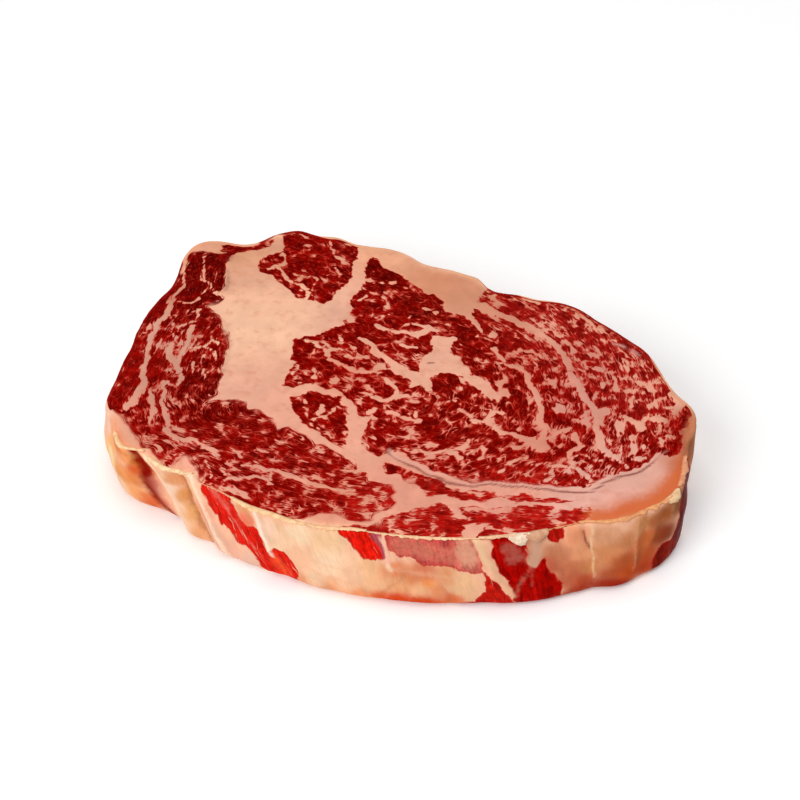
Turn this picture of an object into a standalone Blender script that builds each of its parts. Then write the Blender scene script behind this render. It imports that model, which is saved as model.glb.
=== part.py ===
"""Raw ribeye steak: one boneless slice cut straight across the rib eye roll.

The slice lies flat. Its rim is an uneven closed outline, its side wall spreads down to a
rounded foot, and folds of fat run slanting down that wall. Metres, +Z up, origin at the
middle of the underside, +X along the longer way of the slice.
"""

import math

import bmesh
import bpy
import numpy as np

MM = 0.001

# Driving sizes. RIM_SHARE is how much of the rim's radius lies outside the rim points, and
# LEAN_POWER says how soon the wall spreads below the rim.
THICKNESS = 28.0 * MM
FOOT_RADIUS = 3.0 * MM
RIM_RADIUS = 1.2 * MM
RIM_SHARE = 0.6
LEAN_POWER = 1.7
FACE_WAVE = 0.35 * MM
FACE_WAVE_LENGTH_X = 120.0 * MM
FACE_WAVE_LENGTH_Y = 95.0 * MM
RIM_STEPS = 184

# The middle of the rounded upper edge, in millimetres, clockwise from the left end as seen
# from above.
RIM_POINTS = (
    (-96.0, -14.0), (-93.5, 0.0), (-91.0, 13.0), (-87.5, 27.0), (-84.0, 36.0),
    (-80.0, 46.0), (-78.3, 57.0), (-75.0, 64.5), (-70.0, 68.0), (-63.0, 67.9),
    (-57.0, 66.4), (-50.0, 68.3), (-44.0, 72.0), (-36.0, 74.0), (-30.0, 71.0),
    (-22.0, 70.0), (-16.0, 66.3), (-6.0, 64.6), (2.0, 61.0), (9.0, 55.2),
    (20.0, 51.8), (27.0, 48.3), (32.0, 41.3), (43.0, 38.7), (55.0, 35.3),
    (61.5, 32.0), (68.0, 25.5), (79.0, 15.5), (84.0, 8.0), (90.0, -8.0),
    (95.3, -16.0), (95.6, -24.0), (92.0, -36.0), (88.5, -50.0), (83.0, -57.0),
    (71.0, -63.5), (52.0, -67.0), (38.0, -71.0), (18.0, -72.5), (0.0, -71.3),
    (-20.0, -67.5), (-34.0, -62.5), (-50.0, -55.0), (-64.0, -46.0), (-75.0, -39.0),
    (-87.0, -33.5), (-92.5, -22.0),
)

# How far the foot of the side wall stands outside the rim: bearing (degrees from +X,
# anticlockwise) and spread (mm), in order of bearing.
SPREADS = (
    (15.0, 1.2), (60.0, 1.5), (110.0, 1.2), (150.0, 1.5), (172.0, 1.0), (190.0, 1.2),
    (197.0, 1.8), (204.0, 0.4), (209.0, 2.0), (216.0, 3.6), (240.0, 3.5), (270.0, 3.8),
    (290.0, 3.6), (305.0, 5.4), (315.0, 4.6), (322.0, 3.2), (331.0, 1.4), (345.0, 0.2),
)

# Folds of the side wall: bearing at the rim, bearing at the foot (degrees), half width (mm)
# and depth (mm). A negative depth is a ridge.
FOLDS = (
    (202.4, 210.5, 2.6, 2.6),
    (206.5, 213.5, 3.2, -0.9),
    (210.8, 220.5, 3.4, 2.2),
    (214.8, 224.0, 3.0, -0.8),
    (237.0, 242.0, 5.0, 0.9),
    (289.5, 294.5, 3.4, -0.7),
    (311.0, 313.0, 2.4, 1.3),
    (316.5, 317.5, 5.0, -0.7),
    (322.0, 320.5, 3.0, 1.0),
    (341.0, 336.0, 4.0, 1.5),
    (12.0, 9.0, 4.0, 1.2),
    (38.0, 42.0, 3.6, 1.4),
    (66.0, 62.0, 4.5, 1.2),
    (97.0, 101.0, 4.0, 1.0),
    (128.0, 124.0, 4.6, 1.4),
    (152.0, 157.0, 4.0, 1.1),
    (172.0, 168.0, 4.2, 1.3),
)

# Swollen pads of the side wall: bearing (degrees), height (mm), half width along the wall
# (mm), half height (mm) and how far each stands out (mm).
PADS = (
    (194.5, 14.0, 9.0, 7.0, 1.9),
    (246.0, 12.0, 14.0, 9.0, 0.8),
    (302.0, 10.0, 10.0, 8.0, 0.6),
    (332.0, 15.0, 9.0, 8.0, 0.9),
    (55.0, 13.0, 12.0, 9.0, 0.8),
    (140.0, 13.0, 14.0, 9.0, 0.9),
)

# Heights (mm) of the rings of the side wall, and sizes of the rings across the two faces.
WALL_HEIGHTS = (0.0, 0.5, 1.6, 3.2, 7.0, 11.5, 16.0, 20.5, 24.5, 26.9, 27.7, 28.0)
FACE_RINGS = (0.95, 0.84, 0.66, 0.44, 0.22)
FOOT_RINGS = (0.7,)


def closed_curve(points, steps):
    """A smooth closed curve through the points, as equal steps along its length."""
    corners = np.array(points)
    before = np.roll(corners, 1, axis=0)
    after = np.roll(corners, -1, axis=0)
    beyond = np.roll(corners, -2, axis=0)
    stretches = []
    for t in np.linspace(0.0, 1.0, 16, endpoint=False):
        stretches.append(
            0.5
            * (
                2.0 * corners
                + (after - before) * t
                + (2.0 * before - 5.0 * corners + 4.0 * after - beyond) * t**2
                + (3.0 * corners - before - 3.0 * after + beyond) * t**3
            )
        )
    curve = np.stack(stretches, axis=1).reshape(-1, 2)
    curve = np.vstack([curve, curve[:1]])
    lengths = np.concatenate([[0.0], np.cumsum(np.linalg.norm(np.diff(curve, axis=0), axis=1))])
    stations = np.linspace(0.0, lengths[-1], steps, endpoint=False)
    return np.stack([np.interp(stations, lengths, curve[:, k]) for k in (0, 1)], axis=1)


def outward_normals(curve):
    """Unit normals of a clockwise closed curve, pointing away from its inside."""
    along = np.roll(curve, -1, axis=0) - np.roll(curve, 1, axis=0)
    away = np.stack([-along[:, 1], along[:, 0]], axis=1)
    return away / np.linalg.norm(away, axis=1, keepdims=True)


def bearing_gap(bearings, centre):
    """Signed gap in degrees from a bearing, between -180 and 180."""
    return (bearings - centre + 180.0) % 360.0 - 180.0


def spread_at(bearings):
    """Spread of the foot at each bearing, easing from one named bearing to the next."""
    known = SPREADS[-1:] + SPREADS + SPREADS[:1]
    stops = np.array([bearing for bearing, _ in known])
    stops[0] -= 360.0
    stops[-1] += 360.0
    values = np.array([spread for _, spread in known]) * MM
    turned = bearings % 360.0
    turned = np.where(turned > stops[-1], turned - 360.0, turned)
    after = np.clip(np.searchsorted(stops, turned, side="right"), 1, len(stops) - 1)
    part = (turned - stops[after - 1]) / (stops[after] - stops[after - 1])
    eased = 0.5 - 0.5 * np.cos(math.pi * np.clip(part, 0.0, 1.0))
    return values[after - 1] + (values[after] - values[after - 1]) * eased


def wall_offset(height, bearings, reach):
    """How far the wall stands outside the rim at one height, for each bearing."""
    up = height / THICKNESS
    offset = RIM_SHARE * RIM_RADIUS + spread_at(bearings) * (1.0 - up**LEAN_POWER)
    arc_per_degree = math.pi * reach / 180.0
    fade = math.sqrt(math.sin(math.pi * (0.12 + 0.8 * up)))
    for at_rim, at_foot, half_width, depth in FOLDS:
        centre = at_foot + (at_rim - at_foot) * up
        across = bearing_gap(bearings, centre) * arc_per_degree / (half_width * MM)
        offset = offset - depth * MM * fade * np.exp(-(across**2))
    for bearing, middle, half_width, half_height, rise in PADS:
        across = bearing_gap(bearings, bearing) * arc_per_degree / (half_width * MM)
        upward = (height - middle * MM) / (half_height * MM)
        offset = offset + rise * MM * np.exp(-(across**2) - upward**2)
    if height < FOOT_RADIUS:
        offset = offset - FOOT_RADIUS + math.sqrt(FOOT_RADIUS**2 - (FOOT_RADIUS - height) ** 2)
    from_top = THICKNESS - height
    if from_top < RIM_RADIUS:
        offset = offset - RIM_RADIUS + math.sqrt(RIM_RADIUS**2 - (RIM_RADIUS - from_top) ** 2)
    return offset


def face_height(x, y):
    """Height of the upper face, which waves slightly as soft meat does."""
    wave = math.sin(2.0 * math.pi * x / FACE_WAVE_LENGTH_X + 0.7)
    wave += math.cos(2.0 * math.pi * y / FACE_WAVE_LENGTH_Y - 0.4)
    return THICKNESS + FACE_WAVE * 0.5 * wave


def add_ring(mesh, ring, places):
    """Extrudes a ring of vertices and puts each new vertex at its place."""
    edges = [mesh.edges.get((a, b)) for a, b in zip(ring, ring[1:] + ring[:1])]
    order = {vert: index for index, vert in enumerate(ring)}
    made = bmesh.ops.extrude_edge_only(mesh, edges=edges)["geom"]
    new_ring = [None] * len(ring)
    for vert in made:
        if isinstance(vert, bmesh.types.BMVert):
            source = next(e.other_vert(vert) for e in vert.link_edges if e.other_vert(vert) in order)
            index = order[source]
            vert.co = places[index]
            new_ring[index] = vert
    return new_ring


def close_with_point(mesh, ring, place):
    """Closes a ring with a fan of triangles that meet at one point."""
    face = mesh.faces.new(ring)
    middle = bmesh.ops.poke(mesh, faces=[face])["verts"][0]
    middle.co = place


def steak_mesh():
    rim = closed_curve(RIM_POINTS, RIM_STEPS) * MM
    normals = outward_normals(rim)
    bearings = np.degrees(np.arctan2(rim[:, 1], rim[:, 0]))
    reach = np.linalg.norm(rim, axis=1)
    mesh = bmesh.new()

    rings = []
    for height in (level * MM for level in WALL_HEIGHTS):
        flat = rim + normals * wall_offset(height, bearings, reach)[:, None]
        rings.append([(x, y, height) for x, y in flat])

    foot = bmesh.ops.create_circle(mesh, cap_ends=False, radius=1.0, segments=RIM_STEPS)["verts"]
    for vert, place in zip(foot, rings[0]):
        vert.co = place
    ring = foot
    for places in rings[1:]:
        ring = add_ring(mesh, ring, places)

    for size in FACE_RINGS:
        places = [(x * size, y * size, face_height(x * size, y * size)) for x, y, _ in rings[-1]]
        ring = add_ring(mesh, ring, places)
    close_with_point(mesh, ring, (0.0, 0.0, face_height(0.0, 0.0)))

    ring = foot
    for size in FOOT_RINGS:
        ring = add_ring(mesh, ring, [(x * size, y * size, 0.0) for x, y, _ in rings[0]])
    close_with_point(mesh, ring, (0.0, 0.0, 0.0))

    bmesh.ops.recalc_face_normals(mesh, faces=mesh.faces)
    corners = np.array([vert.co for vert in mesh.verts])
    middle = (corners.min(axis=0) + corners.max(axis=0)) / 2.0
    bmesh.ops.translate(mesh, vec=(-middle[0], -middle[1], 0.0), verts=mesh.verts)
    return mesh


def raw_beef():
    """Fresh red meat, moist and unpolished."""
    material = bpy.data.materials.new("raw_beef")
    material.use_nodes = True
    shader = material.node_tree.nodes["Principled BSDF"]
    shader.inputs["Base Color"].default_value = (0.42, 0.07, 0.05, 1.0)
    shader.inputs["Roughness"].default_value = 0.45
    shader.inputs["Metallic"].default_value = 0.0
    return material


def build():
    for item in list(bpy.data.objects):
        bpy.data.objects.remove(item, do_unlink=True)
    data = bpy.data.meshes.new("steak")
    mesh = steak_mesh()
    mesh.to_mesh(data)
    mesh.free()
    data.materials.append(raw_beef())
    data.shade_smooth()
    steak = bpy.data.objects.new("steak", data)
    bpy.context.scene.collection.objects.link(steak)


build()
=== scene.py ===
"""Raw ribeye steak, dressed over its solid frame. Metres, +Z up."""

import math

import bmesh
import bpy
import numpy as np
from mathutils import Euler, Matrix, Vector, noise
from mathutils.bvhtree import BVHTree


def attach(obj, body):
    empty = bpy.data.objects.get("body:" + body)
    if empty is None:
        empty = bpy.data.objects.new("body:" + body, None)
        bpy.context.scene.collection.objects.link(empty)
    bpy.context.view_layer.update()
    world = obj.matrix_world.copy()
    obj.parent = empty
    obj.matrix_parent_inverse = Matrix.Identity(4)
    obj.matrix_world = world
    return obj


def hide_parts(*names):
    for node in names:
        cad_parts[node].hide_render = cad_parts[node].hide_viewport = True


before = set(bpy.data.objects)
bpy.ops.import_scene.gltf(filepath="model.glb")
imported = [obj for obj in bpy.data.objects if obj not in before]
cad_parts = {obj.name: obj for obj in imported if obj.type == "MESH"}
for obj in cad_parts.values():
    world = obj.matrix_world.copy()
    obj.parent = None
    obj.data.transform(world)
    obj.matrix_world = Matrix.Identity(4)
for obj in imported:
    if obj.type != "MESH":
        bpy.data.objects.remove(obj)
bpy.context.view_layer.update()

MM = 0.001
scene = bpy.context.scene
# noise_vector starts from the clock unless it is seeded.
noise.seed_set(5)


# --- The body of the slice ---------------------------------------------------------------
# One slice cut straight across the rib eye roll: two flat cut faces and a side wall of
# trimmed fat. It is modelled as a block of fine faces pulled onto the frame's solid.

FACE_CELLS = 240
FOOT_CELLS = 100
WALL_LEVELS = (27.8, 27.4, 26.8, 26.0, 25.1, 24.2, 23.2, 22.2, 21.2, 20.2, 19.2, 18.2, 17.2, 16.1,
               15.0, 13.9, 12.8, 11.7, 10.6, 9.5, 8.4, 7.3, 6.2, 5.0, 3.8, 2.6, 1.5, 0.6)
FACE_HEIGHT = 28.0 * MM
RIM_INSET = 0.75 * MM
FOOT_INSET = 1.2 * MM
MAP_SHIFT = 0.6


def steak_block():
    """A block from -1 to 1, with a fine upper face, ringed sides and a coarser lower face."""
    mesh = bmesh.new()
    face = bmesh.ops.create_grid(mesh, x_segments=FACE_CELLS, y_segments=FACE_CELLS, size=1.0)
    bmesh.ops.translate(mesh, vec=(0.0, 0.0, FACE_HEIGHT), verts=face["verts"])
    rim = [edge for edge in mesh.edges if edge.is_boundary]
    for level in WALL_LEVELS:
        made = bmesh.ops.extrude_edge_only(mesh, edges=rim)["geom"]
        verts = {item for item in made if isinstance(item, bmesh.types.BMVert)}
        for vert in verts:
            vert.co.z = level * MM
        edges = [item for item in made if isinstance(item, bmesh.types.BMEdge)]
        rim = [edge for edge in edges if set(edge.verts) <= verts]
    foot = bmesh.ops.create_grid(mesh, x_segments=FOOT_CELLS, y_segments=FOOT_CELLS, size=1.0)
    foot_verts = set(foot["verts"])
    foot_rim = [edge for edge in mesh.edges if edge.is_boundary and edge.verts[0] in foot_verts]
    bmesh.ops.bridge_loops(mesh, edges=rim + foot_rim)
    bmesh.ops.recalc_face_normals(mesh, faces=mesh.faces)
    return mesh


def bearing_and_share(block):
    """Bearing (radians) and share of the radius of points of a square, spread evenly."""
    x = block[:, 0]
    y = block[:, 1]
    wide = np.abs(x) >= np.abs(y)
    along = np.where(wide, x, y)
    safe = np.where(np.abs(along) < 1e-9, 1.0, along)
    turn = np.where(wide, y / safe, -x / safe) * math.pi / 4.0
    bearing = turn + np.where(wide, 0.0, math.pi / 2.0) + np.where(along < 0.0, math.pi, 0.0)
    return bearing, np.abs(along)


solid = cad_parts["steak"]
solid_mesh = bmesh.new()
solid_mesh.from_mesh(solid.data)
solid_tree = BVHTree.FromBMesh(solid_mesh)
solid_mesh.free()


def wall_radius(bearing, height):
    """Distance from the middle out to the solid's wall at one bearing and height."""
    outward = Vector((math.cos(bearing), math.sin(bearing), 0.0))
    start = outward * 0.2 + Vector((0.0, 0.0, height))
    hit = solid_tree.ray_cast(start, -outward)[0]
    return Vector((hit.x, hit.y)).length


RADIUS_STEPS = 1440
RADIUS_LEVELS = (0.4, 0.9, 1.7, 3.0, 4.4, 5.9, 7.5, 9.1, 10.7, 12.3, 13.9, 15.5, 17.1, 18.7,
                 20.2, 21.7, 23.1, 24.4, 25.6, 26.6, 27.3, 27.75)
table_bearings = np.linspace(-math.pi, math.pi, RADIUS_STEPS, endpoint=False)
radius_table = np.array(
    [[wall_radius(b, level * MM) for b in table_bearings] for level in RADIUS_LEVELS]
)


def smooth_round(values, width):
    """Evens a closed row of values over a few neighbours on each side."""
    total = values.copy()
    for step in range(1, width + 1):
        total = total + np.roll(values, step, axis=-1) + np.roll(values, -step, axis=-1)
    return total / (2 * width + 1)


radius_table = smooth_round(smooth_round(radius_table, 3), 2)


def radius_at(bearings, heights):
    """Radius of the wall at many bearings and heights, between the table's rows."""
    place = (bearings + math.pi) / (2.0 * math.pi) * RADIUS_STEPS
    left = np.floor(place).astype(int)
    part = place - left
    levels = np.array(RADIUS_LEVELS) * MM
    row = np.clip(np.searchsorted(levels, heights) - 1, 0, len(levels) - 2)
    up = np.clip((heights - levels[row]) / (levels[row + 1] - levels[row]), 0.0, 1.0)

    def at(rows):
        return (
            radius_table[rows, left % RADIUS_STEPS] * (1.0 - part)
            + radius_table[rows, (left + 1) % RADIUS_STEPS] * part
        )

    return at(row) * (1.0 - up) + at(row + 1) * up


steak_bm = steak_block()
block = np.array([vert.co for vert in steak_bm.verts])
bearing, share = bearing_and_share(block)
bearing = (bearing + math.pi) % (2.0 * math.pi) - math.pi
height = block[:, 2]
on_face = height > FACE_HEIGHT - 1e-6
on_foot = height < 1e-6
on_wall = ~(on_face | on_foot)
# The columns of the wall follow the slant of its ridges, in degrees for each millimetre down.
slope = np.interp(
    np.degrees(bearing) % 360.0,
    (188.0, 202.0, 211.0, 216.0, 226.0, 240.0, 290.0, 298.0, 312.0),
    (0.0, 0.24, 0.36, 0.47, 0.50, 0.30, 0.30, 0.22, 0.0),
)
slant_down = np.radians(slope) * (FACE_HEIGHT - height) / MM
bearing = bearing + slant_down * np.where(on_foot, share ** 2, 1.0)
bearing = (bearing + math.pi) % (2.0 * math.pi) - math.pi
# The knife took a little more off the back left corner than the solid shows.
corner_trim = 1.7 * MM * np.exp(-(((np.degrees(bearing) - 145.0) / 7.0) ** 2))
# At the front left the rim sags over the wall in three soft lips: bearings, then how far
# each hangs down. The foot there is cut back.
LIP_BEARINGS = (192.0, 195.5, 199.0, 203.0, 205.5, 208.5, 212.0, 214.6, 217.0, 223.0, 230.0, 240.0, 250.0, 258.0)
LIP_HANG = (0.0, 2.4, 2.2, 0.2, 1.4, 2.8, 2.0, 0.0, 1.6, 1.2, 1.8, 1.9, 1.2, 0.0)
FOOT_TUCK = 2.6 * MM


def hang_at(bearings):
    """How far the lips hang down at some bearings, in metres."""
    return np.interp(np.degrees(bearings) % 360.0, LIP_BEARINGS, LIP_HANG) * MM


lip = hang_at(bearing)
lip_reach = 0.6 * lip * np.exp(-np.maximum(FACE_HEIGHT - height, 0.0) / (3.0 * MM))
tuck = FOOT_TUCK * np.exp(-(((np.degrees(bearing) % 360.0 - 204.0) / 8.0) ** 2))
lip_reach = lip_reach - tuck * np.clip(1.0 - height / (16.0 * MM), 0.0, 1.0)
rim_radius = radius_at(bearing, np.full(len(block), FACE_HEIGHT)) - RIM_INSET - corner_trim + 0.6 * lip
foot_radius = radius_at(bearing, np.zeros(len(block))) - FOOT_INSET - tuck
reach = np.where(on_face, rim_radius * share, radius_at(bearing, height) - corner_trim + lip_reach)
reach = np.where(on_foot, foot_radius * share, reach)
place = np.stack([np.cos(bearing) * reach, np.sin(bearing) * reach, height], axis=1)

# --- The muscles and seams ------------------------------------------------------------
# Where lean meat lies in the cut face: the cap muscle round the left, the eye in the
# middle, a small muscle at the back and thin ones along the front. All the rest is fat.
# Millimetres in the plane of the face.

CAP = (
    (-75.5, 62.5), (-68, 63), (-60, 62.4), (-61, 56), (-62.3, 52), (-62.5, 43), (-63, 40.5), (-62, 37.5),
    (-63, 35.5), (-67, 34), (-65, 32), (-62, 30), (-61, 27), (-61, 23), (-58.3, 20), (-58.3, 15),
    (-60, 3), (-58.5, 0), (-60, -5), (-60, -10), (-65, -14), (-56.5, -11.5), (-51, -12.5),
    (-50, -15), (-45, -17.5), (-41, -20.5), (-39.5, -25), (-36, -24.5), (-32, -27), (-28, -32),
    (-25, -32), (-19, -36), (-16.5, -38.5), (-14.5, -41), (-14, -43), (-15, -44.5), (-11, -45),
    (-9.5, -48), (-5, -48.5), (-2, -50), (-1.3, -52.5), (-3, -54.5), (-1, -57), (-3.5, -60),
    (-8, -62.5), (-8, -64), (-14, -65), (-20, -61), (-30, -63), (-41, -61.5), (-48, -60),
    (-58, -57.5), (-65, -51.5), (-64, -45), (-65, -40), (-67.5, -37), (-70, -38.5),
    (-73, -40.8), (-76, -39.5), (-80, -33.5), (-83, -32.5), (-85, -29.5), (-88, -24),
    (-91, -19.5), (-94, -16), (-99, -15), (-96, 3), (-90, 28), (-83, 45), (-80, 50.5),
    (-76.8, 51.5),
)
BACK_STRIP = (
    (-63.3, 67.5), (-60, 66.8), (-57, 65.8), (-52.5, 66.8), (-48.5, 70), (-46.2, 71),
    (-46, 66.8), (-52.5, 64), (-57.5, 63), (-60, 61), (-64, 64),
)
BACK_MUSCLE = (
    (-50, 57.5), (-49.3, 59), (-47, 61.5), (-44, 62), (-42, 63.5), (-41.3, 65.5), (-42, 76),
    (-30, 76), (-14, 70), (-15.5, 63), (-16.6, 58.5), (-16.9, 52), (-17.5, 48), (-20, 44),
    (-24, 37), (-25.8, 34.8), (-28, 35.5), (-30, 37), (-32.6, 37.3), (-35, 38.5), (-38, 42),
    (-42.5, 46.5), (-45.5, 49.8), (-49.8, 53),
)
EYE = (
    (-9.8, 60), (-7.5, 56.8), (-3, 52), (0, 50), (5, 45), (8.8, 40.5), (12, 40), (14, 37),
    (16, 31), (18, 29), (24, 28), (27, 34), (31, 46), (58, 44), (84, 20), (89, 2), (97, -14),
    (93, -21), (94, -22.5), (93, -24.5), (90, -25), (90.8, -28), (90.5, -32.5), (87, -37.5),
    (82, -36), (77.5, -40.5), (68, -45), (60, -49.5), (50, -50.5), (40, -49.5), (30, -48.5),
    (25, -49), (18, -47.5), (12, -44), (8, -41.5), (3.5, -39.5), (2, -36.5), (-1, -34),
    (-5, -36), (-7, -37), (-10, -34.5), (-11.5, -30), (-11.5, -25.5), (-10, -20), (-13, -18.5),
    (-16, -13), (-17.5, -10), (-20, -7.5), (-26, -5), (-28, -3.5), (-34, -5), (-36.3, -6.5),
    (-38.3, -4.5), (-38, -1), (-35.5, 6), (-37.3, 7), (-36.3, 13.5), (-36, 17), (-31, 18.5),
    (-25, 21.3), (-19.5, 24.5), (-16.5, 32.5), (-17.5, 35.5), (-14.8, 41.5), (-12, 47),
    (-12.3, 53), (-11.3, 56.5),
)
ISLET = (
    (-35.5, -11.5), (-31.5, -9), (-30, -7.8), (-27.5, -8), (-23, -10), (-19, -10),
    (-19.3, -13.5), (-17, -16.5), (-16, -20), (-17.5, -26), (-17, -30), (-18, -33.3),
    (-20, -33), (-25, -28), (-29.5, -23.5), (-32, -21.5), (-34, -18), (-35.5, -14.5),
)
FRONT_WEDGE = (
    (-4.5, -40), (0, -42), (4, -44.5), (8, -45.5), (12, -47.5), (16, -50.3), (20, -52),
    (32.5, -54), (40, -54), (50, -55.3), (57, -57), (50, -56.5), (39, -55.5), (36.5, -57),
    (31.5, -54.8), (25, -56.8), (19.5, -55.5), (17.5, -54), (8.5, -54.5), (7.5, -52),
    (2, -48), (0, -45.5), (-3.5, -44.5), (-5, -41.5),
)
FRONT_STRIP = (
    (-8, -66), (-5.5, -65), (-1.5, -62.5), (4, -60), (12, -57.5), (16, -60), (16.5, -63.5),
    (20, -64.5), (18, -59), (30, -59.5), (34, -59), (43, -57.5), (47, -58.5), (52, -61),
    (58.5, -58.5), (60, -61), (54, -66), (52, -73), (18, -76), (-10, -74), (-20, -71), (-19, -67),
)
MUSCLES = (CAP, BACK_STRIP, BACK_MUSCLE, EYE, ISLET, FRONT_WEDGE, FRONT_STRIP)

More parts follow.
